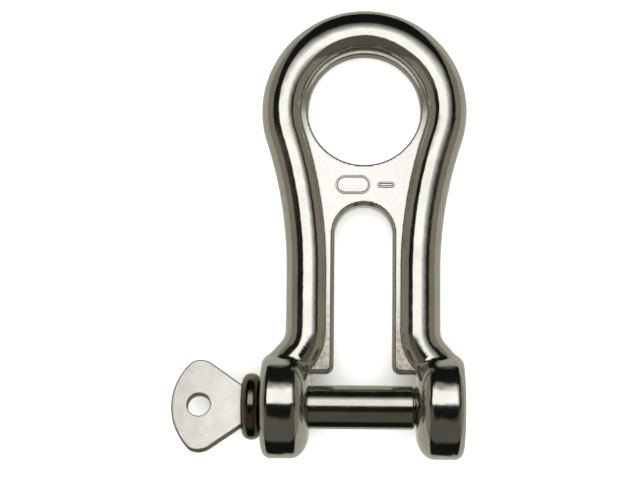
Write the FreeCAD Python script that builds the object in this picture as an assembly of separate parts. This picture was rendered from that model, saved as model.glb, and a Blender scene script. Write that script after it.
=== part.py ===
"""Bow shackle with a webbed bow, a round eye, an open chain slot and an M10 screw pin.

Units are millimetres. The origin is the centre of the jaw: on the pin's axis, midway
between the two ears, in the mid-plane of the forging. X runs along the pin, with its key at
-X. Y points from the pin to the crown of the bow. Z is square to the flat web.
"""

import FreeCAD
import Part
import math
import os

V = FreeCAD.Vector

# How close a place or a length has to be to count as the same
NEAR = 0.01

# Pin and thread, M10 x 1.5
SHANK_R = 5.0
THREAD_PITCH = 1.5
THREAD_MAJOR_R = 4.9
THREAD_MINOR_R = 4.05
THREAD_START_X = 11.3
PIN_TIP_X = 22.2
THREAD_SINK = 0.2
THREAD_FLANK = 30.0
PLAIN_BORE_R = 5.08
TAPPED_BORE_R = 4.98

# Collar of the pin, which seats on the left ear
COLLAR_R = 7.6
COLLAR_ROUND = 1.95
COLLAR_INNER_X = -23.15
COLLAR_OUTER_X = -27.5
SOCKET_R = 2.3
SOCKET_DEPTH = 3.2

# Flat key, punched from plate, with a turned tenon in the collar
KEY_BACK_X = -43.7
KEY_BACK_R = 14.0
KEY_HALF_HEIGHT = 11.0
KEY_CORNER_R = 3.0
KEY_ROOT_X = -27.6
KEY_ROOT_HALF = 4.8
KEY_THICKNESS = 3.0
KEY_EDGE_ROUND = 0.45
KEY_HOLE_X = -37.4
KEY_HOLE_R = 2.6
KEY_HOLE_ROUND = 0.3
KEY_REST_TURN = -13.0
TENON_R = 2.25
TENON_LENGTH = 3.0

# Ears: drums on the pin's axis
EAR_R = 11.75
EAR_INNER_X = 12.2
EAR_OUTER_X = 23.0
EAR_INNER_ROUND = 4.0
EAR_OUTER_ROUND = 2.0

# Bow: a round bar bent in one plane
BAR_R = 5.0
BOW_CENTRE_Y = 68.7
BOW_R = 18.8
LEG_X = 12.7
LEG_TOP_Y = 31.0
LEG_FOOT_Y = 17.5
FLARE_R = 9.0
FLARE_TURN = 42.0

# Web between the legs, with the round eye and the open slot
WEB_HALF = 3.0
RIM_HALF = 1.9
WEB_TOP_Y = BOW_CENTRE_Y + 1.5
WEB_FOOT_Y = 7.45
EYE_R = 13.1
EYE_ROUND = 0.4
SLOT_HALF = 6.75
SLOT_ARCH_Y = 39.6
SLOT_ROUND = 0.65
FOOT_CORNER_R = 2.0

# Blank raised pads on both faces of the web's bridge
PAD_CENTRE = (-2.5, 50.9)
PAD_SIZE = (8.0, 4.4)
BAR_CENTRE = (5.1, 50.9)
BAR_SIZE = (4.0, 1.4)
PAD_HEIGHT = 0.25


def polar(centre, radius, degrees):
    """The point at an angle on a circle in the XY plane."""
    turn = math.radians(degrees)
    return V(centre.x + radius * math.cos(turn), centre.y + radius * math.sin(turn), 0)


def arc_edge(centre, radius, first, last):
    """An arc in the XY plane, from one angle to another by the short way in between."""
    middle = (first + last) / 2
    points = [polar(centre, radius, angle) for angle in (first, middle, last)]
    return Part.Arc(*points).toShape()


def line_edge(start, end):
    return Part.LineSegment(start, end).toShape()


def mirrored(shape):
    """The shape reflected from one leg to the other."""
    return shape.mirror(V(0, 0, 0), V(1, 0, 0))


def bar_path():
    """The bar's centre line, from the left ear over the crown to the right ear."""
    rise = BOW_CENTRE_Y - LEG_TOP_Y
    shoulder_r = (LEG_X**2 + rise**2 - BOW_R**2) / (2 * (BOW_R - LEG_X))
    bow_centre = V(0, BOW_CENTRE_Y, 0)
    shoulder_centre = V(LEG_X + shoulder_r, LEG_TOP_Y, 0)
    join = math.degrees(math.atan2(-rise, LEG_X + shoulder_r))
    flare_centre = V(LEG_X + FLARE_R, LEG_FOOT_Y, 0)
    flare_end = polar(flare_centre, FLARE_R, 180 + FLARE_TURN)
    slope = math.tan(math.radians(90 - FLARE_TURN))
    ear_point = V(flare_end.x + (flare_end.y - WEB_FOOT_Y) / slope, WEB_FOOT_Y, 0)
    right = [
        arc_edge(shoulder_centre, shoulder_r, 180 + join, 180),
        line_edge(V(LEG_X, LEG_TOP_Y, 0), V(LEG_X, LEG_FOOT_Y, 0)),
        arc_edge(flare_centre, FLARE_R, 180, 180 + FLARE_TURN),
        line_edge(flare_end, ear_point),
    ]
    bow = arc_edge(bow_centre, BOW_R, join, 180 - join)
    left = [mirrored(edge) for edge in right]
    wire = Part.Wire(Part.__sortEdges__(left + [bow] + right))
    return wire, ear_point


def bar_solid(path, ear_point):
    """The round bar, with a ball at each end inside its ear."""
    first_edge = path.OrderedEdges[0]
    direction = first_edge.tangentAt(first_edge.FirstParameter)
    circle = Part.Circle(path.OrderedVertexes[0].Point, direction, BAR_R).toShape()
    bar = path.makePipe(Part.Face(Part.Wire(circle)))
    balls = [Part.makeSphere(BAR_R, V(side * ear_point.x, ear_point.y, 0)) for side in (-1, 1)]
    return bar.fuse(balls)


def ear_solid():
    """The right ear: a drum with its edges rounded."""
    width = EAR_OUTER_X - EAR_INNER_X
    drum = Part.makeCylinder(EAR_R, width, V(EAR_INNER_X, 0, 0), V(1, 0, 0))
    for place, radius in ((EAR_INNER_X, EAR_INNER_ROUND), (EAR_OUTER_X, EAR_OUTER_ROUND)):
        rims = [e for e in drum.Edges if is_rim(e, place)]
        drum = drum.makeFillet(radius, rims)
    return drum


def is_rim(edge, x):
    """Whether an edge is a full circle about the X axis at this place."""
    box = edge.BoundBox
    return abs(box.XMin - x) < NEAR and abs(box.XMax - x) < NEAR


def slab(wire, half):
    """A plate on both sides of the mid-plane, inside a closed outline."""
    face = Part.Face(wire)
    face.translate(V(0, 0, -half))
    return face.extrude(V(0, 0, 2 * half))


def box_about(x, y, half):
    """A box centred on X = 0 and Z = 0 from the ear end up to y."""
    low = V(-x, WEB_FOOT_Y - 2 * EAR_R, -half)
    return Part.makeBox(2 * x, y - low.y, 2 * half, low)


def face_rims(shape, half, chosen):
    """The edges in a plate's two faces whose bounding boxes pass a test."""
    rims = []
    for edge in shape.Edges:
        box = edge.BoundBox
        flat = box.ZLength < NEAR and abs(abs(box.Center.z) - half) < NEAR
        if flat and chosen(box):
            rims.append(edge)
    return rims


def web_solid(path, ear_point):
    """The web below the eye, and the thinner rim above it, both punched."""
    closing = line_edge(V(ear_point.x, ear_point.y, 0), V(-ear_point.x, ear_point.y, 0))
    outline = Part.Wire(Part.__sortEdges__(list(path.Edges) + [closing]))
    web = slab(outline, WEB_HALF).common(box_about(2 * EAR_OUTER_X, WEB_TOP_Y, WEB_HALF))
    slot_low = V(-SLOT_HALF, -EAR_R, -WEB_HALF)
    slot = Part.makeBox(2 * SLOT_HALF, SLOT_ARCH_Y + EAR_R, 2 * WEB_HALF, slot_low)
    arch = Part.makeCylinder(SLOT_HALF, 2 * WEB_HALF, V(0, SLOT_ARCH_Y, -WEB_HALF))
    eye = Part.makeCylinder(EYE_R, 2 * WEB_HALF, V(0, BOW_CENTRE_Y, -WEB_HALF))
    web = web.cut([slot, arch, eye]).removeSplitter()
    corners = [e for e in web.Edges if is_foot_corner(e)]
    web = web.makeFillet(FOOT_CORNER_R, corners)
    web = web.makeFillet(SLOT_ROUND, face_rims(web, WEB_HALF, is_slot))
    web = web.makeFillet(EYE_ROUND, face_rims(web, WEB_HALF, is_eye))
    ring = Part.makeCylinder(BOW_R, 2 * RIM_HALF, V(0, BOW_CENTRE_Y, -RIM_HALF))
    hole = Part.makeCylinder(EYE_R, 2 * RIM_HALF, V(0, BOW_CENTRE_Y, -RIM_HALF))
    ring = ring.cut(hole)
    ring = ring.makeFillet(EYE_ROUND, face_rims(ring, RIM_HALF, is_whole_eye))
    upper = Part.makeBox(2 * BOW_R, 2 * BOW_R, 2 * BAR_R, V(-BOW_R, WEB_TOP_Y, -BAR_R))
    return [web, ring.common(upper)]


def is_foot_corner(edge):
    """Whether an edge is where the slot's wall meets the foot of the web."""
    box = edge.BoundBox
    upright = box.ZLength > WEB_HALF and box.XLength < NEAR and box.YLength < NEAR
    place = abs(abs(box.Center.x) - SLOT_HALF) < NEAR and abs(box.Center.y - WEB_FOOT_Y) < NEAR
    return upright and place


def is_slot(box):
    """Whether a rim belongs to the slot or a foot, by its centre."""
    return box.Center.y < SLOT_ARCH_Y + SLOT_HALF and abs(box.Center.x) < LEG_X


def is_eye(box):
    """Whether a rim of the web belongs to the eye, by its centre."""
    low = BOW_CENTRE_Y - EYE_R
    return low - NEAR < box.Center.y < WEB_TOP_Y - NEAR and abs(box.Center.x) < EYE_R


def is_whole_eye(box):
    """Whether a rim is the eye's full circle, by its size."""
    return abs(box.XLength - 2 * EYE_R) < NEAR


def pad_solids():
    """The blank pads, sunk slightly into each face."""
    pads = []
    for side in (-1, 1):
        for centre, size in ((PAD_CENTRE, PAD_SIZE), (BAR_CENTRE, BAR_SIZE)):
            height = 2 * PAD_HEIGHT
            base = side * WEB_HALF - PAD_HEIGHT
            run = size[0] - size[1]
            low = V(centre[0] - run / 2, centre[1] - size[1] / 2, base)
            middle = Part.makeBox(run, size[1], height, low)
            ends = [
                Part.makeCylinder(size[1] / 2, height, V(centre[0] + end * run / 2, centre[1], base))
                for end in (-1, 1)
            ]
            pads.append(middle.fuse(ends))
    return pads


def past_ears():
    """The blocks outside both ears, which trim the ends of the bar flush with them."""
    height = LEG_FOOT_Y + EAR_R
    right = Part.makeBox(BAR_R, height, 2 * EAR_R, V(EAR_OUTER_X, -EAR_R, -EAR_R))
    return [right, mirrored(right)]


def bow_body():
    """The forging: bar, ears, web and pads in one piece, with its two bores."""
    path, ear_point = bar_path()
    ear = ear_solid()
    pieces = [ear, mirrored(ear)] + web_solid(path, ear_point) + pad_solids()
    body = bar_solid(path, ear_point).fuse(pieces)
    reach = EAR_OUTER_X + BAR_R
    plain = Part.makeCylinder(PLAIN_BORE_R, reach, V(-reach, 0, 0), V(1, 0, 0))
    tapped = Part.makeCylinder(TAPPED_BORE_R, reach, V(0, 0, 0), V(1, 0, 0))
    return body.cut([plain, tapped] + past_ears()).removeSplitter()


def thread_solid():
    """The threaded length: a core with one helical ridge of 60 degree section."""
    length = PIN_TIP_X - THREAD_START_X
    core = Part.makeCylinder(THREAD_MINOR_R, length, V(THREAD_START_X, 0, 0), V(1, 0, 0))
    helix = Part.makeHelix(THREAD_PITCH, length - 2 * THREAD_PITCH, THREAD_MINOR_R)
    sunk = THREAD_MINOR_R - THREAD_SINK
    depth = THREAD_MAJOR_R - sunk
    crest = THREAD_PITCH / 8
    foot = crest + depth * math.tan(math.radians(THREAD_FLANK))
    corners = [
        V(sunk, 0, -foot),
        V(THREAD_MAJOR_R, 0, -crest),
        V(THREAD_MAJOR_R, 0, crest),
        V(sunk, 0, foot),
        V(sunk, 0, -foot),
    ]
    ridge = Part.Wire(helix.Edges).makePipeShell([Part.makePolygon(corners)], True, True)
    ridge.rotate(V(0, 0, 0), V(0, 1, 0), 90)
    ridge.translate(V(THREAD_START_X + THREAD_PITCH, 0, 0))
    return core.fuse(ridge)


def screw_pin():
    """Collar, shank and thread, with a blind socket for the key's tenon."""
    width = COLLAR_INNER_X - COLLAR_OUTER_X
    collar = Part.makeCylinder(COLLAR_R, width, V(COLLAR_OUTER_X, 0, 0), V(1, 0, 0))
    rims = [e for e in collar.Edges if is_rim(e, COLLAR_OUTER_X) or is_rim(e, COLLAR_INNER_X)]
    collar = collar.makeFillet(COLLAR_ROUND, rims)
    shank_length = THREAD_START_X - COLLAR_INNER_X
    shank = Part.makeCylinder(SHANK_R, shank_length, V(COLLAR_INNER_X, 0, 0), V(1, 0, 0))
    pin = collar.fuse([shank, thread_solid()])
    mouth = V(COLLAR_OUTER_X, 0, 0)
    socket = Part.makeCylinder(SOCKET_R, SOCKET_DEPTH, mouth, V(1, 0, 0))
    return pin.cut(socket)


def key_outline():
    """A rounded triangle: a bulging back, two round corners and straight sides."""
    back = V(KEY_BACK_X + KEY_BACK_R, 0, 0)
    corner_y = KEY_HALF_HEIGHT - KEY_CORNER_R
    span = KEY_BACK_R - KEY_CORNER_R
    corner = V(back.x - math.sqrt(span**2 - corner_y**2), corner_y, 0)
    root = V(KEY_ROOT_X, KEY_ROOT_HALF, 0)
    reach = corner.distanceToPoint(root)
    to_root = math.degrees(math.atan2(root.y - corner.y, root.x - corner.x))
    side_angle = to_root + math.degrees(math.acos(KEY_CORNER_R / reach))
    back_angle = math.degrees(math.atan2(corner.y, corner.x - back.x))
    tangent = polar(corner, KEY_CORNER_R, side_angle)
    upper = [
        arc_edge(corner, KEY_CORNER_R, side_angle, back_angle),
        line_edge(tangent, root),
    ]
    lower = [edge.mirror(V(0, 0, 0), V(0, 1, 0)) for edge in upper]
    bulge = arc_edge(back, KEY_BACK_R, back_angle, 360 - back_angle)
    base = line_edge(root, V(root.x, -root.y, 0))
    return Part.Wire(Part.__sortEdges__(upper + lower + [bulge, base]))


def key_head():
    """The punched plate, its rounded edges, its hole and its tenon."""
    half = KEY_THICKNESS / 2
    plate = slab(key_outline(), half)
    rims = face_rims(plate, half, lambda box: box.Center.x < KEY_ROOT_X - NEAR)
    plate = plate.makeFillet(KEY_EDGE_ROUND, rims)
    hole = Part.makeCylinder(KEY_HOLE_R, KEY_THICKNESS, V(KEY_HOLE_X, 0, -half))
    plate = plate.cut(hole)
    hole_rims = [e for e in plate.Edges if is_key_hole_rim(e)]
    plate = plate.makeFillet(KEY_HOLE_ROUND, hole_rims)
    tenon_start = V(KEY_ROOT_X - half, 0, 0)
    tenon_reach = TENON_LENGTH + half
    tenon = Part.makeCylinder(TENON_R, tenon_reach, tenon_start, V(1, 0, 0))
    key = plate.fuse(tenon)
    key.rotate(V(0, 0, 0), V(1, 0, 0), KEY_REST_TURN)
    return key


def is_key_hole_rim(edge):
    """Whether an edge is one of the two full circles of the key's hole."""
    box = edge.BoundBox
    centred = abs(box.Center.x - KEY_HOLE_X) < NEAR and abs(box.XLength - 2 * KEY_HOLE_R) < NEAR
    return centred and box.ZLength < NEAR


def one_solid(shape):
    """The shape's only solid."""
    if len(shape.Solids) != 1:
        raise ValueError(f"expected one solid, found {len(shape.Solids)}")
    return shape.Solids[0]


def main():
    os.makedirs("parts", exist_ok=True)
    nodes = {"bow_body": bow_body(), "screw_pin": screw_pin(), "key_head": key_head()}
    for name, shape in nodes.items():
        solid = one_solid(shape)
        solid.exportStep(f"parts/{name}.step")
        box = solid.BoundBox
        print(name, solid.isValid(), round(solid.Volume, 1), box)


main()
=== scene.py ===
import math

import bpy
import numpy as np
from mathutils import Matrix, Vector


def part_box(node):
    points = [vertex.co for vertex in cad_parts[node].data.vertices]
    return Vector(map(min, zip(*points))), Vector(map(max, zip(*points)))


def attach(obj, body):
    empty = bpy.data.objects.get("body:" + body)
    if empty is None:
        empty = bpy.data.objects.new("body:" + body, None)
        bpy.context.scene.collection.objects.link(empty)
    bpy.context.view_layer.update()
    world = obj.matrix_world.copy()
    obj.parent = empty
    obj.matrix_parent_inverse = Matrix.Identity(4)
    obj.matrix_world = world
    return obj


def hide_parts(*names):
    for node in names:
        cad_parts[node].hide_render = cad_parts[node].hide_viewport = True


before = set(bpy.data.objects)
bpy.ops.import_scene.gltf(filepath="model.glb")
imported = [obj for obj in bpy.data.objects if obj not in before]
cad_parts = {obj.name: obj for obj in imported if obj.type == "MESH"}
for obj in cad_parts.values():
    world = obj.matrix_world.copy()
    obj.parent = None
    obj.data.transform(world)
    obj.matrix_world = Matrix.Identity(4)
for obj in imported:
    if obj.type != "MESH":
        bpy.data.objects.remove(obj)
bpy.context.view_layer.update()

MM = 0.001

# ---------------------------------------------------------------- sizes, in mm

body_low, body_high = (np.array(corner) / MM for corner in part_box("bow_body"))
pin_low, pin_high = (np.array(corner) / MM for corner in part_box("screw_pin"))
key_low, key_high = (np.array(corner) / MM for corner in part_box("key_head"))

# Ears
EAR_R = body_high[2]
EAR_OUTER_X = 23.0
EAR_INNER_X = 12.2
EAR_OUTER_ROUND = 2.1
EAR_INNER_ROUND = 4.2
EAR_INNER_STRETCH = 1.4
PLAIN_BORE_R = 5.08
TAPPED_BORE_R = 4.98
BORE_ROUND = 0.4

# Bar of the bow
BAR_R = 5.0
BOW_R = 18.8
BOW_CENTRE_Y = body_high[1] - BOW_R - BAR_R
LEG_X = 12.7
LEG_TOP_Y = 31.0
LEG_FOOT_Y = 17.5
FLARE_R = 9.0
FLARE_TURN = math.radians(42.0)

# Web, eye and slot
WEB_HALF = 3.0
RIM_HALF = 1.9
RIM_START_Y = BOW_CENTRE_Y - 1.0
RIM_END_Y = BOW_CENTRE_Y + 7.0
WEB_FOOT_Y = 7.45
WEB_ROUND = 0.5
EYE_R = 13.1
EYE_ROUND = 0.5
SLOT_HALF = 6.7
SLOT_ARCH_Y = 39.6
FOOT_CORNER_R = 2.0
LAND_HALF = 2.1
LAND_STEP = 0.28
LAND_DRAFT = 0.2
BAR_END_GAP = 0.35
BAR_EAR_BLEND = 0.9
BAR_WEB_BLEND = 0.5

# Blank pads of the web: name, centre and size
PADS = [("oval_pad", (-2.5, 50.9), (8.0, 4.4)), ("bar_pad", (5.1, 50.9), (4.0, 1.4))]

# Pin
SHANK_R = 5.0
COLLAR_R = pin_high[2]
COLLAR_INNER_X = -23.15
COLLAR_OUTER_X = pin_low[0]
COLLAR_ROUND = 2.05
NECK_R = 5.9
THREAD_PITCH = 1.5
THREAD_MAJOR_R = 4.9
THREAD_MINOR_R = 4.05
THREAD_START_X = 11.3
PIN_TIP_X = pin_high[0]
SOCKET_R = 2.3
SOCKET_DEPTH = 3.2

# Key
KEY_BACK_X = key_low[0]
KEY_BACK_R = 14.0
KEY_HALF_HEIGHT = 11.0
KEY_CORNER_R = 3.0
KEY_ROOT_X = -27.6
KEY_ROOT_HALF = 4.8
KEY_SEAT_X = COLLAR_OUTER_X - 0.03
KEY_HALF = 1.5
KEY_EDGE_ROUND = 0.45
KEY_HOLE_X = -37.4
KEY_HOLE_R = 2.6
KEY_HOLE_ROUND = 0.3
KEY_REST_TURN = math.radians(-13.0)
TENON_R = 2.25
TENON_END_X = -24.6

# ------------------------------------------------- distance fields, in mm


def soft_min(a, b, width):
    """The smaller of two distances, blended into a fillet of about that width."""
    share = np.clip(0.5 + 0.5 * (b - a) / width, 0, 1)
    return b * (1 - share) + a * share - width * share * (1 - share)


def round_max(a, b, radius):
    """What lies in both shapes, with their common edge rounded to a radius."""
    outside = np.hypot(np.maximum(a + radius, 0), np.maximum(b + radius, 0))
    return np.minimum(np.maximum(a, b) + radius, 0) + outside - radius


def smooth_step(low, high, value):
    """0 at low and before it, 1 at high and past it, with a smooth run between."""
    share = np.clip((value - low) / (high - low), 0, 1)
    return share * share * (3 - 2 * share)


def arc_distance(x, y, centre, radius, first, last, outward):
    """Distance to an arc, and the signed distance that is negative on the web's side."""
    dx = x - centre[0]
    dy = y - centre[1]
    reach = np.hypot(dx, dy)
    middle = (first + last) / 2
    half = (last - first) / 2
    angle = (np.arctan2(dy, dx) - middle + math.pi) % (2 * math.pi) - math.pi
    clamped = middle + np.clip(angle, -half, half)
    near_x = centre[0] + radius * np.cos(clamped)
    near_y = centre[1] + radius * np.sin(clamped)
    return np.hypot(x - near_x, y - near_y), outward * (reach - radius)


def line_distance(x, y, start, end):
    """The same for a straight run; the web is on its left, going from start to end."""
    run_x, run_y = end[0] - start[0], end[1] - start[1]
    length = math.hypot(run_x, run_y)
    along = ((x - start[0]) * run_x + (y - start[1]) * run_y) / length**2
    along = np.clip(along, 0, 1)
    near = np.hypot(x - start[0] - along * run_x, y - start[1] - along * run_y)
    side = ((x - start[0]) * run_y - (y - start[1]) * run_x) / length
    return near, side


def bar_line(x, y):
    """Distance from the bar's centre line in its plane, unsigned and signed."""
    x = np.abs(x)
    rise = BOW_CENTRE_Y - LEG_TOP_Y
    shoulder_r = (LEG_X**2 + rise**2 - BOW_R**2) / (2 * (BOW_R - LEG_X))
    join = math.atan2(-rise, LEG_X + shoulder_r)
    flare = (LEG_X + FLARE_R, LEG_FOOT_Y)
    flare_end = (
        flare[0] - FLARE_R * math.cos(FLARE_TURN),
        flare[1] - FLARE_R * math.sin(FLARE_TURN),
    )
    drop = flare_end[1] - WEB_FOOT_Y
    ear_point = (flare_end[0] + drop * math.tan(FLARE_TURN), WEB_FOOT_Y)
    pieces = [
        arc_distance(x, y, (0, BOW_CENTRE_Y), BOW_R, join, math.pi / 2, 1),
        arc_distance(
            x, y, (LEG_X + shoulder_r, LEG_TOP_Y), shoulder_r, math.pi + join, math.pi, -1
        ),
        line_distance(x, y, (LEG_X, LEG_FOOT_Y), (LEG_X, LEG_TOP_Y)),
        arc_distance(x, y, flare, FLARE_R, math.pi, math.pi + FLARE_TURN, -1),
        line_distance(x, y, ear_point, flare_end),
    ]
    nearest, signed = pieces[0]
    for near, side in pieces[1:]:
        closer = near < nearest
        nearest = np.where(closer, near, nearest)
        signed = np.where(closer, side, signed)
    return nearest, np.where(signed < 0, -nearest, nearest)


def forging_waviness(x, y, z):
    """The slight unevenness that forging and tumbling leave on a surface."""
    rough = 0.006 * np.sin(0.83 * x + 1.31 * y + 0.4) * np.sin(1.07 * z - 0.52 * y)
    rough += 0.004 * np.sin(1.63 * y - 0.71 * x + 1.9) * np.sin(0.93 * x + 1.17 * z + 0.7)
    rough += 0.002 * np.sin(2.3 * x - 1.9 * z + 2.1) * np.sin(2.1 * y + 0.8 * z)
    return rough


def ear_field(x, y, z):
    """Both ears: drums about the X axis, with a long round towards the jaw."""
    reach = np.hypot(y, z)
    along = np.abs(x)
    outer = round_max(reach - EAR_R, along - EAR_OUTER_X, EAR_OUTER_ROUND)
    inner = round_max((reach - EAR_R) / EAR_INNER_STRETCH, EAR_INNER_X - along, EAR_INNER_ROUND)
    return np.maximum(outer, inner)


def slot_and_foot(x, y):
    """Positive in the slot and below the web's feet, with round foot corners."""
    arch = np.hypot(x, y - SLOT_ARCH_Y)
    across = np.where(y > SLOT_ARCH_Y, arch, np.abs(x))
    return round_max(SLOT_HALF - across, WEB_FOOT_Y - y, FOOT_CORNER_R)


def web_field(x, y, z, side):
    """The web, with a punched land inside its drafted edges."""
    height = np.abs(z)
    thin = smooth_step(RIM_START_Y, RIM_END_Y, y)
    half = WEB_HALF + (RIM_HALF - WEB_HALF) * thin
    step = LAND_STEP * smooth_step(LAND_HALF - 0.08, LAND_HALF + 0.08, height)
    draft = LAND_DRAFT * np.clip(height - LAND_HALF, 0, 1)
    opening = slot_and_foot(x, y) + step + draft
    plate = round_max(opening, height - half, WEB_ROUND)
    return np.maximum(plate, side)


def body_field(x, y, z):
    """The whole forging."""
    line, side = bar_line(x, y)
    past_ear = np.where(y < LEG_FOOT_Y, np.abs(x) - EAR_OUTER_X + BAR_END_GAP, -BAR_R)
    bar = np.maximum(np.hypot(line, z) - BAR_R, past_ear)
    solid = soft_min(bar, ear_field(x, y, z), BAR_EAR_BLEND)
    solid = soft_min(solid, web_field(x, y, z, side), BAR_WEB_BLEND)
    solid = solid + forging_waviness(x, y, z)
    eye = EYE_R - np.hypot(x, y - BOW_CENTRE_Y)
    solid = round_max(solid, eye, EYE_ROUND)
    bore_r = np.where(x < 0, PLAIN_BORE_R, TAPPED_BORE_R)
    return round_max(solid, bore_r - np.hypot(y, z), BORE_ROUND)


def key_plate(x, v):
    """The key's outline in its own plane: a bulging back and two straight sides."""
    v = np.abs(v)
    back_x = KEY_BACK_X + KEY_BACK_R
    corner_y = KEY_HALF_HEIGHT - KEY_CORNER_R
    corner_x = back_x - math.sqrt((KEY_BACK_R - KEY_CORNER_R) ** 2 - corner_y**2)
    run_x, run_y = KEY_ROOT_X - corner_x, KEY_ROOT_HALF - corner_y
    reach = math.hypot(run_x, run_y)
    normal = math.atan2(run_y, run_x) + math.acos(KEY_CORNER_R / reach)
    side = (x - KEY_ROOT_X) * math.cos(normal) + (v - KEY_ROOT_HALF) * math.sin(normal)
    back = np.hypot(x - back_x, v) - KEY_BACK_R
    return round_max(back, side, KEY_CORNER_R)


def key_field(x, y, z):
    """The key in its rest turn, with its hole, its root and its tenon."""
    turn = -KEY_REST_TURN
    v = y * math.cos(turn) - z * math.sin(turn)
    w = y * math.sin(turn) + z * math.cos(turn)
    around = np.hypot(y, z)
    plate = round_max(key_plate(x, v), np.abs(w) - KEY_HALF, KEY_EDGE_ROUND)
    plate = round_max(plate, x - KEY_SEAT_X, 0.05)
    plate = plate + 0.5 * forging_waviness(x, y, z)
    plate = round_max(plate, KEY_HOLE_R - np.hypot(x - KEY_HOLE_X, v), KEY_HOLE_ROUND)
    from_middle = np.abs(x - (KEY_SEAT_X + TENON_END_X) / 2)
    tenon = np.maximum(around - TENON_R, from_middle - (TENON_END_X - KEY_SEAT_X) / 2)
    return np.minimum(plate, tenon)


# ------------------------------------------------------ meshes from fields


def gradient(field, points, reach=0.02):
    """The field's slope at each point."""
    slope = np.empty_like(points)
    for axis in range(3):
        offset = np.zeros(3)
        offset[axis] = reach
        ahead = field(*(points + offset).T)
        behind = field(*(points - offset).T)
        slope[:, axis] = (ahead - behind) / (2 * reach)
    return slope


def onto_surface(field, points, largest):
    """Moves points along the slope until they lie on the surface."""
    for _ in range(3):
        slope = gradient(field, points)
        squared = np.maximum((slope**2).sum(1), 0.05)
        move = slope * (field(*points.T) / squared)[:, None]
        length = np.maximum(np.linalg.norm(move, axis=1), 1e-9)
        points = points - move * np.minimum(1, largest / length)[:, None]
    return points


def net_of_surface(field, low, high, step):
    """Vertices and quads of a field's surface, one vertex to each grid cell it crosses."""
    axes = [np.arange(low[a] - 2 * step, high[a] + 3 * step, step) for a in range(3)]
    grid = np.meshgrid(*[axis.astype(np.float32) for axis in axes], indexing="ij")
    values = field(*grid)
    counts = np.array(values.shape)
    strides = np.array([counts[1] * counts[2], counts[2], 1])
    cells, places, quads = [], [], []
    for axis in range(3):
        below = [slice(None)] * 3
        above = [slice(None)] * 3
        below[axis] = slice(0, -1)
        above[axis] = slice(1, None)
        start, end = values[tuple(below)], values[tuple(above)]
        index = np.argwhere((start < 0) != (end < 0))
        first = start[tuple(index.T)]
        last = end[tuple(index.T)]
        place = index.astype(float)
        place[:, axis] += first / (first - last)
        others = [(axis + 1) % 3, (axis + 2) % 3]
        corner = index @ strides
        ring = np.stack(
            [
                corner,
                corner - strides[others[0]],
                corner - strides[others[0]] - strides[others[1]],
                corner - strides[others[1]],
            ],
            1,
        )
        ring[first >= 0] = ring[first >= 0][:, ::-1]
        quads.append(ring)
        for side in range(4):
            cells.append(ring[:, side])
            places.append(place)
    cells = np.concatenate(cells)
    places = np.concatenate(places)
    used, vertex = np.unique(cells, return_inverse=True)
    total = np.stack([np.bincount(vertex, places[:, axis]) for axis in range(3)], 1)
    total /= np.bincount(vertex)[:, None]
    origin = np.array([axis[0] for axis in axes])
    points = origin + total * step
    faces = np.searchsorted(used, np.concatenate(quads))
    return points, faces


def relax(points, faces, share=0.5):
    """Evens out the spacing of the vertices."""
    starts = faces.ravel()
    ends = np.roll(faces, -1, axis=1).ravel()
    both = np.concatenate([starts, ends])
    other = np.concatenate([ends, starts])
    count = np.bincount(both, minlength=len(points))[:, None]
    mean = np.stack(
        [np.bincount(both, points[other, axis], len(points)) for axis in range(3)], 1
    )
    return points + share * (mean / count - points)


def mesh_object(name, points, faces, normals=None):
    """A smooth mesh object from millimetre points and quads."""
    mesh = bpy.data.meshes.new(name)
    mesh.from_pydata((points * MM).tolist(), [], faces.tolist())
    mesh.shade_smooth()
    if normals is not None:
        mesh.normals_split_custom_set_from_vertices(normals.tolist())
    piece = bpy.data.objects.new(name, mesh)
    bpy.context.scene.collection.objects.link(piece)
    return piece


def field_object(name, field, low, high, step):
    """A piece whose surface is where its field is zero."""
    points, faces = net_of_surface(field, low, high, step)
    for _ in range(3):
        points = relax(points, faces)
        points = onto_surface(field, points, step / 2)
    slope = gradient(field, points)
    normals = slope / np.linalg.norm(slope, axis=1)[:, None]
    return mesh_object(name, points, faces, normals), points, normals


def paint(piece, name, values):
    """Stores one number for each vertex, for the material to read."""
    layer = piece.data.attributes.new(name, "FLOAT", "POINT")
    layer.data.foreach_set("value", np.asarray(values, np.float32))


# ------------------------------------------------------------ lathe meshes


def arc_points(centre, radius, first, last, count):
    angles = np.radians(np.linspace(first, last, count))
    return [(centre[0] + radius * math.cos(a), centre[1] + radius * math.sin(a)) for a in angles]


def thread_radius(x, turn):
    """The thread's radius: a helical ridge that fades out at both ends."""
    phase = ((x - THREAD_START_X) / THREAD_PITCH - turn / (2 * np.pi)) % 1
    flank = np.clip(1.55 - 3.4 * np.abs(phase - 0.5), 0, 1)
    fade_in = smooth_step(THREAD_START_X, THREAD_START_X + 0.5, x)
    chamfer = np.clip((PIN_TIP_X - x) * 0.9, 0, THREAD_MAJOR_R - THREAD_MINOR_R)
    ridge = THREAD_MINOR_R + (THREAD_MAJOR_R - THREAD_MINOR_R) * flank
    ridge = np.minimum(ridge, THREAD_MINOR_R + chamfer)
    return SHANK_R + (ridge - SHANK_R) * fade_in


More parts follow.
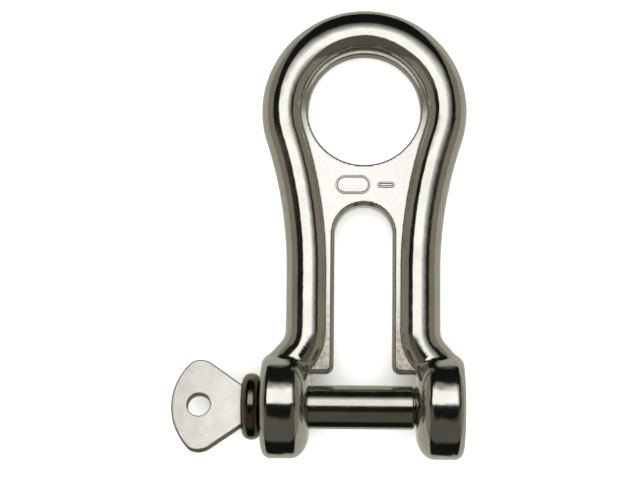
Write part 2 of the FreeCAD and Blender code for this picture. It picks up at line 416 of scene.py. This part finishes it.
def lathe_object(name, profile, thread_rows, segments):
    """A turned piece about the X axis: profile points (x, r), then threaded rows."""
    turns = np.linspace(0, 2 * np.pi, segments, endpoint=False)
    rows = [np.stack([np.full(segments, x), np.full(segments, r)]) for x, r in profile]
    rows += [np.stack([np.full(segments, x), thread_radius(x, turns)]) for x in thread_rows]
    rows = np.array(rows)
    points = np.stack([rows[:, 0], rows[:, 1] * np.cos(turns), rows[:, 1] * np.sin(turns)], 2)
    points = points.reshape(-1, 3)
    faces = []
    for row in range(len(rows) - 1):
        for step in range(segments):
            ahead = (step + 1) % segments
            base, above = row * segments, (row + 1) * segments
            faces.append((base + step, above + step, above + ahead, base + ahead))
    start = len(points)
    points = np.vstack([points, [profile[0][0], 0, 0], [thread_rows[-1], 0, 0]])
    last = (len(rows) - 1) * segments
    for step in range(segments):
        ahead = (step + 1) % segments
        faces.append((start, step, ahead))
        faces.append((start + 1, last + ahead, last + step))
    mesh = bpy.data.meshes.new(name)
    mesh.from_pydata((points * MM).tolist(), [], faces)
    mesh.shade_smooth()
    piece = bpy.data.objects.new(name, mesh)
    bpy.context.scene.collection.objects.link(piece)
    return piece


def pin_profile():
    """The pin's half section from the socket's floor, over the collar, to the thread."""
    rounding = COLLAR_ROUND
    outer_x, inner_x = COLLAR_OUTER_X, COLLAR_INNER_X
    crown = COLLAR_R - rounding
    profile = [(outer_x + SOCKET_DEPTH, 0.5), (outer_x + SOCKET_DEPTH, SOCKET_R)]
    profile += [(outer_x + 0.2, SOCKET_R), (outer_x, SOCKET_R + 0.2)]
    profile += arc_points((outer_x + rounding, crown), rounding, 180, 90, 16)
    profile += arc_points((inner_x - rounding, crown), rounding, 90, 0, 16)
    profile += [(inner_x, NECK_R - 0.5)]
    profile += arc_points((inner_x + 0.4, SHANK_R + 0.4), 0.4, 180, 270, 6)
    profile += [(x, SHANK_R) for x in np.linspace(inner_x + 1, THREAD_START_X - 0.1, 40)]
    return profile


# --------------------------------------------------------------- materials


def new_material(name):
    material = bpy.data.materials.new(name)
    material.use_nodes = True
    nodes = material.node_tree.nodes
    return material, nodes, material.node_tree.links, nodes["Principled BSDF"]


def value_of(links, socket, source):
    """Sets a socket from a number or from another socket."""
    if isinstance(source, (int, float)):
        socket.default_value = source
    else:
        links.new(source, socket)


def math_node(nodes, links, operation, first, second=0.0, clamp=False):
    node = nodes.new("ShaderNodeMath")
    node.operation = operation
    node.use_clamp = clamp
    value_of(links, node.inputs[0], first)
    value_of(links, node.inputs[1], second)
    return node.outputs[0]


def noise_node(nodes, links, coordinates, scale, detail=3.0, roughness=0.55):
    """Noise whose features are about 1/scale metres across."""
    node = nodes.new("ShaderNodeTexNoise")
    node.inputs["Scale"].default_value = scale
    node.inputs["Detail"].default_value = detail
    node.inputs["Roughness"].default_value = roughness
    links.new(coordinates, node.inputs["Vector"])
    return node.outputs["Fac"]


def spread(nodes, links, source, low, high, to_low, to_high):
    """Maps a value's range onto another range, clamped."""
    node = nodes.new("ShaderNodeMapRange")
    links.new(source, node.inputs["Value"])
    ends = {"From Min": low, "From Max": high, "To Min": to_low, "To Max": to_high}
    for name, number in ends.items():
        node.inputs[name].default_value = number
    return node.outputs["Result"]


def mix_value(nodes, links, share, first, second):
    """first where share is 0, second where it is 1."""
    node = nodes.new("ShaderNodeMix")
    node.data_type = "FLOAT"
    value_of(links, node.inputs[0], share)
    value_of(links, node.inputs[2], first)
    value_of(links, node.inputs[3], second)
    return node.outputs[0]


def mix_colour(nodes, links, share, first, second):
    node = nodes.new("ShaderNodeMix")
    node.data_type = "RGBA"
    value_of(links, node.inputs[0], share)
    for socket, source in ((node.inputs[6], first), (node.inputs[7], second)):
        if isinstance(source, tuple):
            socket.default_value = (*source, 1)
        else:
            links.new(source, socket)
    return node.outputs[2]


def attribute(nodes, name):
    node = nodes.new("ShaderNodeAttribute")
    node.attribute_name = name
    return node.outputs["Fac"]


def object_place(nodes):
    return nodes.new("ShaderNodeTexCoord").outputs["Object"]


def bump_chain(nodes, links, shader, layers):
    """Adds bump layers of (height, distance in metres, strength), one on the other."""
    normal = None
    for height, distance, strength in layers:
        bump = nodes.new("ShaderNodeBump")
        bump.inputs["Distance"].default_value = distance
        value_of(links, bump.inputs["Strength"], strength)
        links.new(height, bump.inputs["Height"])
        if normal is not None:
            links.new(normal, bump.inputs["Normal"])
        normal = bump.outputs["Normal"]
    links.new(normal, shader.inputs["Normal"])


def forged_steel():
    """Polished forging: satin on its web and rougher at its feet; the thin rim by the crown carries a
    painted dark reflection.
    """
    material, nodes, links, shader = new_material("forged_stainless")
    place = object_place(nodes)
    satin = attribute(nodes, "satin")
    pitted = attribute(nodes, "pitted")
    rim_painted_reflection = attribute(nodes, "rim_painted_reflection")
    cloud = noise_node(nodes, links, place, 160.0, 4.0)
    peel = noise_node(nodes, links, place, 620.0, 2.0)
    grain = noise_node(nodes, links, place, 4200.0, 3.0, 0.65)
    coarse = noise_node(nodes, links, place, 1500.0, 4.0, 0.7)
    tint = spread(nodes, links, cloud, 0.3, 0.7, 0.0, 1.0)
    polished = mix_colour(nodes, links, tint, (0.42, 0.415, 0.385), (0.49, 0.485, 0.455))
    speck = spread(nodes, links, coarse, 0.35, 0.65, 0.0, 1.0)
    smooth_face = mix_colour(nodes, links, speck, (0.66, 0.65, 0.62), (0.72, 0.715, 0.70))
    rough_face = mix_colour(nodes, links, speck, (0.34, 0.30, 0.22), (0.74, 0.72, 0.67))
    face = mix_colour(nodes, links, pitted, smooth_face, rough_face)
    # Painted dark reflection: the satin face of the thin rim by the crown is darkened to stand in for
    # the dark room it mirrors.
    face = mix_colour(nodes, links, rim_painted_reflection, face, (0.30, 0.29, 0.24))
    colour = mix_colour(nodes, links, satin, polished, face)
    links.new(colour, shader.inputs["Base Color"])
    shader.inputs["Metallic"].default_value = 1.0
    shine = spread(nodes, links, cloud, 0.25, 0.75, 0.09, 0.14)
    dull = spread(nodes, links, grain, 0.2, 0.8, 0.36, 0.46)
    links.new(mix_value(nodes, links, satin, shine, dull), shader.inputs["Roughness"])
    cells = nodes.new("ShaderNodeTexVoronoi")
    cells.inputs["Scale"].default_value = 420.0
    links.new(place, cells.inputs["Vector"])
    pits = spread(nodes, links, cells.outputs["Distance"], 0.05, 0.16, 0.0, 1.0)
    satin_grain = math_node(nodes, links, "MULTIPLY", satin, 0.25)
    pit_share = math_node(nodes, links, "MULTIPLY", pitted, 0.35)
    layers = [
        (peel, 0.00006, 0.08),
        (pits, 0.00003, 0.35),
        (grain, 0.00003, satin_grain),
        (coarse, 0.00004, pit_share),
    ]
    bump_chain(nodes, links, shader, layers)
    return material


def turned_steel():
    """Polished turned bar: fine rings round the shank, slight handling wear, and a collar that is brown
    from tarnish and darkened further as a painted dark reflection.
    """
    material, nodes, links, shader = new_material("turned_stainless")
    place = object_place(nodes)
    cloud = noise_node(nodes, links, place, 240.0, 4.0)
    peel = noise_node(nodes, links, place, 900.0, 4.0)
    stretch = nodes.new("ShaderNodeMapping")
    stretch.inputs["Scale"].default_value = (9000.0, 160.0, 160.0)
    links.new(place, stretch.inputs["Vector"])
    rings = noise_node(nodes, links, stretch.outputs["Vector"], 1.0, 2.0)
    bare = mix_colour(nodes, links, cloud, (0.30, 0.29, 0.255), (0.44, 0.43, 0.39))
    brown = mix_colour(nodes, links, cloud, (0.12, 0.108, 0.09), (0.19, 0.17, 0.14))
    # Partly painted dark reflection: the collar's brown is tarnish, but its very dark base colour stands
    # in for the dark room it mirrors.
    colour = mix_colour(nodes, links, attribute(nodes, "tarnish_and_painted_reflection"), bare, brown)
    links.new(colour, shader.inputs["Base Color"])
    shader.inputs["Metallic"].default_value = 1.0
    links.new(spread(nodes, links, cloud, 0.25, 0.75, 0.11, 0.2), shader.inputs["Roughness"])
    bump_chain(nodes, links, shader, [(peel, 0.00005, 0.16), (rings, 0.00001, 0.35)])
    return material


def punched_steel():
    """Satin plate: fine blasted grain with faint mottling, and cut walls darkened partly as sheared
    edges and partly as a painted dark reflection.
    """
    material, nodes, links, shader = new_material("punched_stainless")
    place = object_place(nodes)
    cloud = noise_node(nodes, links, place, 330.0, 5.0, 0.6)
    grain = noise_node(nodes, links, place, 3800.0, 3.0, 0.65)
    tint = spread(nodes, links, cloud, 0.3, 0.7, 0.0, 1.0)
    colour = mix_colour(nodes, links, tint, (0.74, 0.71, 0.66), (0.84, 0.82, 0.78))
    # Partly painted dark reflection: the near-black cut walls stand in for the dark room they mirror, on
    # top of a darker sheared edge.
    colour = mix_colour(nodes, links, attribute(nodes, "sheared_edge_and_painted_reflection"), colour, (0.16, 0.14, 0.11))
    links.new(colour, shader.inputs["Base Color"])
    shader.inputs["Metallic"].default_value = 1.0
    links.new(spread(nodes, links, grain, 0.2, 0.8, 0.36, 0.5), shader.inputs["Roughness"])
    bump_chain(nodes, links, shader, [(cloud, 0.00012, 0.25), (grain, 0.00003, 0.5)])
    return material


# ------------------------------------------------------------------ pieces


BODY_STEP = 0.36
KEY_STEP = 0.22
THREAD_STEP = 0.1
LATHE_SEGMENTS = 160
PAD_SEGMENTS = 96


def make_body():
    """The forging, painted where it is satin or rough from the forge, with a painted dark reflection on
    the thin rim by the crown.
    """
    piece, points, normals = field_object("bow_forging", body_field, body_low, body_high, BODY_STEP)
    x, y, z = points.T
    line, side = bar_line(x, y)
    from_bar = np.hypot(line, z) - BAR_R
    flat = smooth_step(0.9, 0.985, np.abs(normals[:, 2])) * smooth_step(0.02, 0.2, from_bar)
    in_web = (side < 0) & (y > WEB_FOOT_Y - 0.5)
    from_eye = np.abs(np.hypot(x, y - BOW_CENTRE_Y) - EYE_R)
    from_slot = np.abs(slot_and_foot(x, y))
    wall = 1 - smooth_step(0.05, 0.5, np.minimum(from_eye, from_slot))
    wall *= 1 - smooth_step(0.1, 0.35, np.abs(normals[:, 2]))
    paint(piece, "satin", np.where(in_web, np.maximum(flat, wall), 0))
    # Painted dark reflection: darker towards the crown, on the thin rim round the eye.
    paint(piece, "rim_painted_reflection", smooth_step(BOW_CENTRE_Y - 8, BOW_CENTRE_Y + 1, y))
    paint(piece, "pitted", smooth_step(30, 12, y))
    piece.data.materials.append(forged_steel())
    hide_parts("bow_body")
    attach(piece, "bow")
    return piece


def stadium(length, width, inset, count):
    """An outline of two half circles and two straight sides, drawn in by an inset."""
    radius = width / 2 - inset
    half = length / 2 - width / 2
    turns = (np.arange(count) + 0.5) * 2 * np.pi / count
    return np.stack([radius * np.cos(turns) + half * np.sign(np.cos(turns)), radius * np.sin(turns)], 1)


def make_pad(name, centre, size, face, material):
    """A plain raised pad on the web, with a rounded rim and a shallow blank field."""
    rows = [
        (0, -0.2, 0),
        (0, 0.12, 0),
        (0.06, 0.2, 0),
        (0.16, 0.25, 1),
        (0.32, 0.25, 1),
        (0.42, 0.18, 0),
        (0.5, 0.1, 0),
        (0.6, 0.08, 1),
    ]
    count = PAD_SEGMENTS
    rings = []
    satin = []
    for inset, height, share in rows:
        satin += [share] * count
        ring = np.zeros((count, 3))
        ring[:, :2] = stadium(*size, inset, count) + centre
        ring[:, 2] = face * (WEB_HALF + height)
        rings.append(ring)
    rings.append(rings[-1].mean(0)[None])
    points = np.vstack(rings)
    faces = []
    for row in range(len(rows) - 1):
        for step in range(count):
            ahead = (step + 1) % count
            base = row * count
            faces.append((base + step, base + ahead, base + count + ahead, base + count + step))
    last = (len(rows) - 1) * count
    for step in range(count):
        faces.append((last + step, last + (step + 1) % count, last + count))
    if face < 0:
        faces = [corners[::-1] for corners in faces]
    mesh = bpy.data.meshes.new(name)
    mesh.from_pydata((points * MM).tolist(), [], faces)
    mesh.shade_smooth()
    piece = bpy.data.objects.new(name, mesh)
    bpy.context.scene.collection.objects.link(piece)
    paint(piece, "satin", satin + [1])
    piece.data.materials.append(material)
    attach(piece, "bow")


def make_pads(material):
    """The blank pads of both faces."""
    for side, face in (("front", 1), ("back", -1)):
        for kind, centre, size in PADS:
            make_pad(f"{kind}_{side}", centre, size, face, material)


def make_pin():
    """The turned pin, with its collar tarnished brown and darkened by a painted dark reflection."""
    rows = np.arange(THREAD_START_X, PIN_TIP_X + 0.01, THREAD_STEP)
    piece = lathe_object("pin_turned", pin_profile(), rows, LATHE_SEGMENTS)
    along = np.array([vertex.co.x for vertex in piece.data.vertices]) / MM
    # Collar mask: brown tarnish plus a painted dark reflection.
    paint(piece, "tarnish_and_painted_reflection", smooth_step(COLLAR_INNER_X + 0.6, COLLAR_INNER_X, along))
    piece.data.materials.append(turned_steel())
    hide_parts("screw_pin")
    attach(piece, "pin")
    return piece


def make_key():
    """The key plate, its cut walls darker: partly a sheared edge, partly a painted dark reflection."""
    piece, _, normals = field_object("key_plate", key_field, key_low, key_high, KEY_STEP)
    facing = normals[:, 2] * math.cos(KEY_REST_TURN) - normals[:, 1] * math.sin(KEY_REST_TURN)
    # Walls mask: darker sheared edge plus a painted dark reflection.
    paint(piece, "sheared_edge_and_painted_reflection", smooth_step(0.85, 0.5, np.abs(facing)))
    piece.data.materials.append(punched_steel())
    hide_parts("key_head")
    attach(piece, "key")
    return piece


# ------------------------------------------------------------- the studio


FLOOR_SIZE = 6.0
FLOOR_COLOUR = (0.9, 0.9, 0.885, 1)
FLOOR_ROUGHNESS = 0.9
FLOOR_SPECULAR = 0.1


def make_floor():
    """A pale table that the ears and the crown of the bow rest on."""
    drop = math.asin((EAR_R - BAR_R) / (BOW_CENTRE_Y + BOW_R))
    bpy.ops.mesh.primitive_plane_add(size=FLOOR_SIZE)
    floor = bpy.context.object
    floor.name = "floor"
    floor.rotation_euler = (drop, 0, 0)
    floor.location = (0, 0, -EAR_R / math.cos(drop) * MM)
    material, _, _, shader = new_material("pale_floor")
    shader.inputs["Base Color"].default_value = FLOOR_COLOUR
    shader.inputs["Roughness"].default_value = FLOOR_ROUGHNESS
    shader.inputs["Specular IOR Level"].default_value = FLOOR_SPECULAR
    floor.data.materials.append(material)
    floor.visible_glossy = False


SOFTBOX_HEIGHT = 0.138
SOFTBOX_LEFT = -0.072
SOFTBOX_NEAR = 0.015
SOFTBOX_STEPS = [
    (0.042, 0.108, 0.35),
    (0.056, 0.124, 0.22),
    (0.072, 0.142, 0.18),
    (0.092, 0.165, 0.14),
    (0.118, 0.195, 0.11),
]
SOFTBOX_RADIANCE = 2.1
SOFTBOX_COLOUR = (1, 0.99, 0.965)
SOFTBOX_GAP = 0.0004


def make_softbox():
    """A close softbox over the bow; its right and far edges fade out in steps."""
    for number, (right, far, share) in enumerate(SOFTBOX_STEPS):
        width, depth = right - SOFTBOX_LEFT, far - SOFTBOX_NEAR
        light = bpy.data.lights.new(f"softbox_{number}", "AREA")
        light.shape = "RECTANGLE"
        light.size, light.size_y = width, depth
        light.energy = SOFTBOX_RADIANCE * share * math.pi * width * depth
        light.color = SOFTBOX_COLOUR
        lamp = bpy.data.objects.new(light.name, light)
        middle_x, middle_y = (right + SOFTBOX_LEFT) / 2, (far + SOFTBOX_NEAR) / 2
        lamp.location = (middle_x, middle_y, SOFTBOX_HEIGHT + SOFTBOX_GAP * number)
        lamp.visible_camera = False
        bpy.context.scene.collection.objects.link(lamp)


FILL_STRENGTH = 3.2
FILL_ANGLE = math.radians(80)
FILL_TILT = math.radians(12)


def make_fill():
    """A broad light that keeps the table pale."""
    sun = bpy.data.lights.new("fill", "SUN")
    sun.energy = FILL_STRENGTH
    sun.angle = FILL_ANGLE
    fill = bpy.data.objects.new("fill", sun)
    fill.rotation_euler = (FILL_TILT, 0, 0)
    fill.visible_glossy = False
    bpy.context.scene.collection.objects.link(fill)


def make_room():
    """The room that the polish mirrors: dark above, with a pale table and pale side walls."""
    world = bpy.data.worlds.new("room")
    bpy.context.scene.world = world
    world.use_nodes = True
    nodes, links = world.node_tree.nodes, world.node_tree.links
    split = nodes.new("ShaderNodeSeparateXYZ")
    links.new(nodes.new("ShaderNodeTexCoord").outputs["Generated"], split.inputs[0])
    east, north, up = split.outputs
    squares = math_node(nodes, links, "MULTIPLY", up, up)
    level = math_node(nodes, links, "SQRT", math_node(nodes, links, "SUBTRACT", 1.0001, squares))
    across = math_node(nodes, links, "DIVIDE", math_node(nodes, links, "ABSOLUTE", east), level)
    sideways = spread(nodes, links, across, 0.35, 0.85, 0.0, 1.0)
    frontward = spread(nodes, links, north, 0.1, -0.1, 0.0, 1.0)
    low_edge = mix_value(nodes, links, frontward, -0.26, -0.66)
    edge = mix_value(nodes, links, sideways, low_edge, 0.56)
    below = math_node(nodes, links, "SUBTRACT", up, edge)
    pale = spread(nodes, links, below, 0.03, -0.03, 0.0, 1.0)
    table = spread(nodes, links, up, 0.0, -0.06, 0.0, 1.0)
    walls = mix_colour(nodes, links, table, (0.37, 0.34, 0.26), (0.62, 0.61, 0.52))
    high = spread(nodes, links, up, 0.93, 0.86, 0.0, 1.0)
    low = spread(nodes, links, up, 0.04, 0.14, 0.0, 1.0)
    haze = math_node(nodes, links, "MULTIPLY", math_node(nodes, links, "MULTIPLY", high, low), frontward)
    dark = mix_colour(nodes, links, haze, (0.012, 0.015, 0.012), (0.165, 0.155, 0.13))
    mirrored = mix_colour(nodes, links, pale, dark, walls)
    path = nodes.new("ShaderNodeLightPath")
    lit = mix_colour(nodes, links, path.outputs["Is Diffuse Ray"], mirrored, (0.9, 0.9, 0.89))
    seen = mix_colour(nodes, links, path.outputs["Is Camera Ray"], lit, (0.93, 0.93, 0.92))
    links.new(seen, nodes["Background"].inputs["Color"])


CAMERA_PLACE = (0.0007, -0.008, 0.350)
CAMERA_TILT = (6.25, 1.69, 0.52)
CAMERA_LENS = 86.0
CAMERA_SHIFT = 0.055
CAMERA_SENSOR = 36.0
CAMERA_CLIP = 0.01


def make_camera():
    data = bpy.data.cameras.new("camera")
    data.lens = CAMERA_LENS
    data.sensor_width = CAMERA_SENSOR
    data.shift_y = CAMERA_SHIFT
    data.clip_start = CAMERA_CLIP
    camera = bpy.data.objects.new("camera", data)
    bpy.context.scene.collection.objects.link(camera)
    camera.rotation_euler = [math.radians(angle) for angle in CAMERA_TILT]
    camera.location = CAMERA_PLACE
    bpy.context.scene.camera = camera


bpy.context.scene.view_settings.view_transform = "Standard"
body = make_body()
make_pads(body.data.materials[0])
make_pin()
make_key()
make_floor()
make_softbox()
make_fill()
make_room()
make_camera()

bpy.context.view_layer.update()
